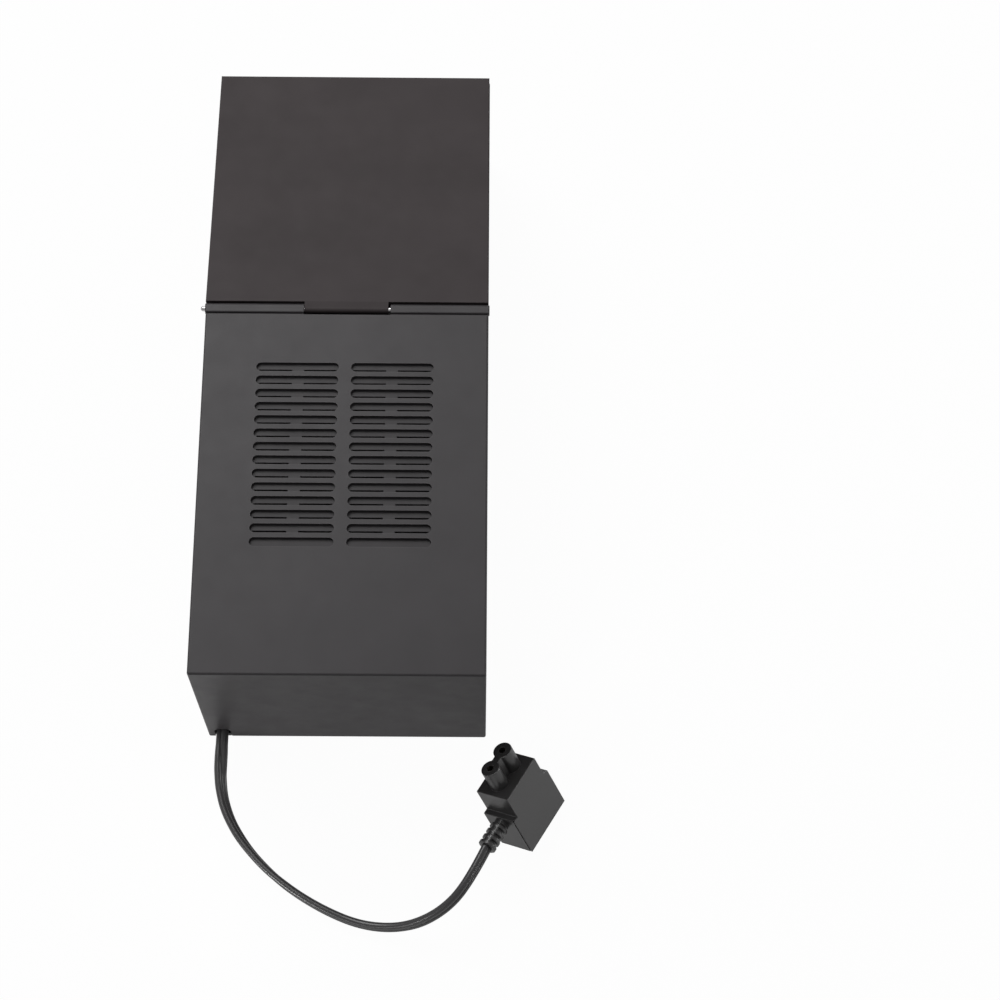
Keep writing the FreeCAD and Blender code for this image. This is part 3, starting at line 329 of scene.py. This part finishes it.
def barrel_cover(name, side):
    """One flat-topped barrel, its profile drawn along the pin and drawn in at the outer end."""
    stations = (
        (cover_inner, 1.0),
        (cover_outer - cover_end_length, 1.0),
        (cover_outer, cover_end_scale),
    )
    mesh = bmesh.new()
    rings = []
    for along, scale in stations:
        ring = []
        for across, height in cover_profile:
            spot = pin_line + Vector((side * along, across * scale, height * scale))
            ring.append(mesh.verts.new(spot))
        rings.append(ring)
    close_rings(mesh, rings)
    cover = make_piece(name, mesh, case_black)
    soften = cover.modifiers.new("soften", "BEVEL")
    soften.width = cover_edge_round
    soften.segments = 3
    soften.limit_method = "ANGLE"
    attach(cover, "case")


barrel_cover("barrel_cover_left", -1)
barrel_cover("barrel_cover_right", 1)


# Vent floors
# Each groove in the roof has a floor a little below the surface, with two slits along its near side.
# All are moulded in one with the roof; the rearmost row has no slits.

groove_middles = (-0.0178, 0.0174)
first_groove = -0.0763549
groove_pitch = 0.00538
groove_rows = 14
groove_half = 0.0137
groove_round = 0.00178
slit_from = 0.0022
slit_depth = 0.00062
slit_skip = 30
floor_top = 0.0787
floor_bottom = 0.0775
# The floors are coloured a little darker than the roof: painted shade in the grooves.
painted_shade_floor = moulded_plastic("painted_shade_floor", (0.0375, 0.0347, 0.037), 0.48, 0.22)


def groove_outline(with_slits):
    """The floor's outline: round ends, and a notch on each side of the bridge for a slit."""
    end_steps = 12
    skip = slit_skip if with_slits else 0
    slit_to = groove_half + groove_round * math.sin(math.radians(skip))
    outline = []
    for end, start in ((1, skip - 90), (-1, 90)):
        for step in range(end_steps + 1):
            angle = math.radians(start + (180 - skip) * step / end_steps)
            along = end * groove_half + groove_round * math.cos(angle)
            outline.append((along, groove_round * math.sin(angle)))
    if with_slits:
        outline += [
            (-slit_to, -slit_depth),
            (-slit_from, -slit_depth),
            (-slit_from, -groove_round),
            (slit_from, -groove_round),
            (slit_from, -slit_depth),
            (slit_to, -slit_depth),
        ]
    return outline


floor_mesh = bmesh.new()
for row in range(groove_rows):
    groove = first_groove + row * groove_pitch
    outline = groove_outline(row > 0)
    for middle in groove_middles:
        rings = []
        for height in (floor_bottom, floor_top):
            rings.append([floor_mesh.verts.new((middle + x, groove + y, height)) for x, y in outline])
        close_rings(floor_mesh, rings)
vent_floors = make_piece("vent_floors", floor_mesh, painted_shade_floor)
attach(vent_floors, "case")


# Lid and its pin
# A plain flap over the front compartment, moulded like the housing but a shade warmer.
# Its middle barrel turns on one bright steel pin, whose domed end stands out at the left.

# Its edges are lightened to 1.4 times the colour as a painted highlight.
lid_black = moulded_plastic("lid_black", (0.0465, 0.0395, 0.0408), 0.6, 0.14, edge_highlight=1.4)
pin_steel = plated_steel("pin_steel", (0.62, 0.61, 0.61), 0.2, spangle=4000)
dress("lid", lid_black)
dress("hinge_pin", pin_steel)


# Mains lead
# A flat twin lead in glossy black PVC: two round cores side by side with a groove between.
# It leaves the notch flat, turns on edge to go round the loop, and rises to the plug.

notch = Vector((-0.0477, -0.1270149, 0))
route = [
    (0.0001, 0.00596, 0.0065),
    (-0.0001, -0.00549, 0.0065),
    (-0.0006, -0.01949, 0.0026),
    (0.0028, -0.03229, 0.0025),
    (0.0107, -0.04479, 0.0025),
    (0.0228, -0.05699, 0.0025),
    (0.0387, -0.06739, 0.0025),
    (0.0557, -0.07449, 0.003),
    (0.0724, -0.07585, 0.008),
    (0.0857, -0.07145, 0.0168),
    (0.0952, -0.06199, 0.0229),
    (0.10205, -0.04819, 0.0232),
]
core_radius = 0.0014
core_offset = 0.0011
around = 56
turn_along = [
    (0.0, -28), (0.06, -24), (0.1, 10), (0.14, 36), (0.19, 50), (0.26, 62),
    (0.35, 76), (0.45, 88), (0.6, 92), (0.7, 98), (0.78, 108), (0.9, 113), (1.0, 118),
]


def smooth_path(name, steps):
    """The points of a smooth line that is drawn by a few steps from the notch."""
    line = bpy.data.curves.new(name, "CURVE")
    line.dimensions = "3D"
    line.resolution_u = 28
    spline = line.splines.new("NURBS")
    spline.points.add(len(steps) - 1)
    for spot, step in zip(spline.points, steps):
        spot.co = (*(notch + Vector(step)), 1)
    spline.order_u = 3
    spline.use_endpoint_u = True
    holder = bpy.data.objects.new(name, line)
    drawn = bpy.data.meshes.new_from_object(holder)
    path = [spot.co.copy() for spot in drawn.vertices]
    bpy.data.objects.remove(holder)
    bpy.data.meshes.remove(drawn)
    return path


def read_off(table, along):
    """The value of a table of places and values, eased between its rows."""
    for (start, low), (stop, high) in zip(table, table[1:]):
        if along <= stop:
            part = (along - start) / (stop - start)
            part = part * part * (3 - 2 * part)
            return low + (high - low) * part
    return table[-1][1]


def sweep_twin(mesh, path):
    """The lead's two-core section, swept along a path and turned about it as it goes."""
    lengths = [0.0]
    for here, there in zip(path, path[1:]):
        lengths.append(lengths[-1] + (there - here).length)
    rings = []
    for number, centre in enumerate(path):
        ahead = path[min(number + 1, len(path) - 1)] - path[max(number - 1, 0)]
        ahead.normalize()
        side = ahead.cross(Vector((0, 0, 1))).normalized()
        up = side.cross(ahead)
        turn = math.radians(read_off(turn_along, lengths[number] / lengths[-1]))
        wide = side * math.cos(turn) + up * math.sin(turn)
        thin = up * math.cos(turn) - side * math.sin(turn)
        ring = []
        for step in range(around):
            angle = 2 * math.pi * step / around
            across = core_offset * math.sin(angle)
            reach = core_offset * abs(math.cos(angle)) + math.sqrt(core_radius ** 2 - across ** 2)
            spot = centre + wide * (reach * math.cos(angle)) + thin * (reach * math.sin(angle))
            ring.append(mesh.verts.new(spot))
        rings.append(ring)
    close_rings(mesh, rings)


cord_black = moulded_plastic("cord_black", (0.034, 0.033, 0.034), 0.34, 0.6,
                             grain=220, depth=0.000002, uneven=0.004)
lead_path = smooth_path("lead_line", route)
lead_mesh = bmesh.new()
sweep_twin(lead_mesh, lead_path)
lead = make_piece("mains_lead", lead_mesh, cord_black, smooth_sides=True)
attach(lead, "case")
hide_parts("power_cord")


# Plug block
# A hard black moulding with a figure-8 connector on its face and a ringed relief on its side.
# The contact tubes and the pass-through pins are plated brass.

# Its edges are lightened strongly, to four times the colour, as a painted highlight.
plug_black = moulded_plastic("plug_black", (0.0205, 0.0195, 0.0198), 0.3, 0.85,
                             depth=0.000004, edge_highlight=4.0, highlight_radius=0.0005, uneven=0.012)
contact_brass = plated_steel("contact_brass", (0.74, 0.6, 0.34), 0.3, spangle=2500)
plug_body = dress("plug_body", plug_black)
plug_contacts = dress("plug_contacts", contact_brass)
inlet_pins = dress("inlet_pins", contact_brass)

plug_from_notch = Vector((0.1086, -0.022985, 0.0309))
plug_place = (Matrix.Translation(notch + plug_from_notch)
              @ Matrix.Rotation(math.radians(-24.7), 4, "Z")
              @ Matrix.Rotation(math.radians(-30.6), 4, "Y")
              @ Matrix.Rotation(math.radians(-11.7), 4, "X"))
relief_root = -0.0120
relief_tip = -0.0239
relief_level = -0.0140
ring_radius = 0.0035
window_radius = 0.0021
collar_radius = 0.0029
collar_gap = 0.0006
ring_pitch = 0.00265
ring_width = 0.0015
ring_edge = 0.0002
ring_count = 4
spine_angle = math.radians(80)
spine_half = math.radians(30)
spine_edge = math.radians(9)
spine_height = 0.94
relief_rows = 110
relief_steps = 96


def relief_reach(along, angle):
    """The relief's radius: full on a ring and on the two spines, and small in a window."""
    if along > relief_tip + (ring_count - 1) * ring_pitch + ring_width + collar_gap:
        return collar_radius
    on_ring = 0.0
    for number in range(ring_count):
        middle = relief_tip + number * ring_pitch + ring_width / 2
        inside = (ring_width / 2 - abs(along - middle)) / ring_edge
        on_ring = max(on_ring, min(1.0, max(0.0, inside)))
    off_spine = abs((angle - spine_angle + math.pi / 2) % math.pi - math.pi / 2)
    on_spine = min(1.0, max(0.0, (spine_half - off_spine) / spine_edge))
    crown = math.sqrt(1 - (1 - on_ring) ** 2)
    return window_radius + (ring_radius - window_radius) * max(crown, spine_height * on_spine)


relief_mesh = bmesh.new()
relief_rings = []
for row in range(relief_rows + 1):
    along = relief_tip + (relief_root - relief_tip) * row / relief_rows
    ring = []
    for step in range(relief_steps):
        angle = 2 * math.pi * step / relief_steps
        reach = relief_reach(along, angle)
        spot = Vector((reach * math.cos(angle), along, relief_level + reach * math.sin(angle)))
        ring.append(relief_mesh.verts.new(plug_place @ spot))
    relief_rings.append(ring)
close_rings(relief_mesh, relief_rings)
plug_relief = make_piece("ringed_relief", relief_mesh, plug_black, smooth_sides=True)
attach(plug_relief, "case")
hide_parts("plug_relief")


# Table, light and camera
# A plain white table top and a white surround, which the gloss on the case mirrors faintly.
# One large soft light hangs above and behind; weak ones lift the near wall, the plug and the right side.

half_table = 3.0
table_mesh = bpy.data.meshes.new("table")
table_mesh.from_pydata(
    [(-half_table, -half_table, 0), (half_table, -half_table, 0),
     (half_table, half_table, 0), (-half_table, half_table, 0)],
    [], [(0, 1, 2, 3)])
table = bpy.data.objects.new("table", table_mesh)
table.location.z = -0.0001
bpy.context.scene.collection.objects.link(table)


def combine(tree, operation, first, second):
    """One sum of two values in a tree, the second a link or a plain number."""
    sum_node = tree.nodes.new("ShaderNodeMath")
    sum_node.operation = operation
    tree.links.new(first, sum_node.inputs[0])
    if isinstance(second, float):
        sum_node.inputs[1].default_value = second
    else:
        tree.links.new(second, sum_node.inputs[1])
    return sum_node.outputs["Value"]


def seen_or_mirrored(tree, seen, mirrored):
    """One share for rays from the camera, another for a mirror or glass, and nought for the rest."""
    rays = tree.nodes.new("ShaderNodeLightPath").outputs
    glints = combine(tree, "MAXIMUM", rays["Is Glossy Ray"], rays["Is Transmission Ray"])
    direct = combine(tree, "MULTIPLY", rays["Is Camera Ray"], seen)
    return combine(tree, "MAXIMUM", direct, combine(tree, "MULTIPLY", glints, mirrored))


mirrored_white = 0.25
white = bpy.data.materials.new("table_white")
white.use_nodes = True
white_tree = white.node_tree
white_shader = white_tree.nodes["Principled BSDF"]
white_shader.inputs["Base Color"].default_value = (0.75, 0.75, 0.75, 1)
white_shader.inputs["Roughness"].default_value = 0.9
white_shader.inputs["Specular IOR Level"].default_value = 0.0
glow = white_tree.nodes.new("ShaderNodeEmission")
mixed = white_tree.nodes.new("ShaderNodeMixShader")
white_tree.links.new(seen_or_mirrored(white_tree, 0.97, mirrored_white), mixed.inputs["Fac"])
white_tree.links.new(white_shader.outputs["BSDF"], mixed.inputs[1])
white_tree.links.new(glow.outputs["Emission"], mixed.inputs[2])
white_tree.links.new(mixed.outputs["Shader"], white_tree.nodes["Material Output"].inputs["Surface"])
table_mesh.materials.append(white)

world = bpy.data.worlds.new("surround")
bpy.context.scene.world = world
world.use_nodes = True
world_tree = world.node_tree
backdrop = world_tree.nodes["Background"]
backdrop.inputs["Color"].default_value = (1, 1, 1, 1)
level = world_tree.nodes.new("ShaderNodeMapRange")
level.inputs["To Min"].default_value = 0.2
level.inputs["To Max"].default_value = 1.0
world_tree.links.new(seen_or_mirrored(world_tree, 1.0, mirrored_white), level.inputs["Value"])
world_tree.links.new(level.outputs["Result"], backdrop.inputs["Strength"])


def hang(lamp, place, aim):
    """Hangs a lamp at a place, turned to a point."""
    holder = bpy.data.objects.new(lamp.name, lamp)
    holder.location = place
    holder.rotation_euler = (Vector(aim) - Vector(place)).to_track_quat("-Z", "Y").to_euler()
    bpy.context.scene.collection.objects.link(holder)


def soft_light(name, place, aim, width, power):
    """A square soft light."""
    lamp = bpy.data.lights.new(name, "AREA")
    lamp.size = width
    lamp.energy = power
    hang(lamp, place, aim)


def pool_light(name, place, aim, cone, power, softness):
    """A soft-edged spot with a cone of so many degrees."""
    lamp = bpy.data.lights.new(name, "SPOT")
    lamp.energy = power
    lamp.spot_size = math.radians(cone)
    lamp.spot_blend = 1.0
    lamp.shadow_soft_size = softness
    hang(lamp, place, aim)


soft_light("key", (-0.62, 0.98, 1.5), (0, -0.02, 0.05), width=1.2, power=31)
soft_light("right", (1.0, 0.0, 0.12), (0, 0, 0.04), width=0.2, power=2.5)
pool_light("fill", (-0.40, -0.50, 0.11), (0.02, -0.127, -0.042), cone=16, power=17.0, softness=0.1)
pool_light("side", (0.45, -0.42, 0.12), (0.02, -0.195, 0.0), cone=8, power=1.6, softness=0.03)
pool_light("pool", (-0.06, -0.21, 0.6), (-0.05, -0.176, 0), cone=9, power=2.5, softness=0.02)

lens = bpy.data.cameras.new("photo_view")
lens.sensor_width = 36
lens.lens = 87.83
camera = bpy.data.objects.new("photo_view", lens)
camera.location = (0.0520, -0.3861, 0.9134)
camera.rotation_euler = (math.radians(21.4), math.radians(-0.5), math.radians(0.21))
bpy.context.scene.collection.objects.link(camera)
bpy.context.scene.camera = camera
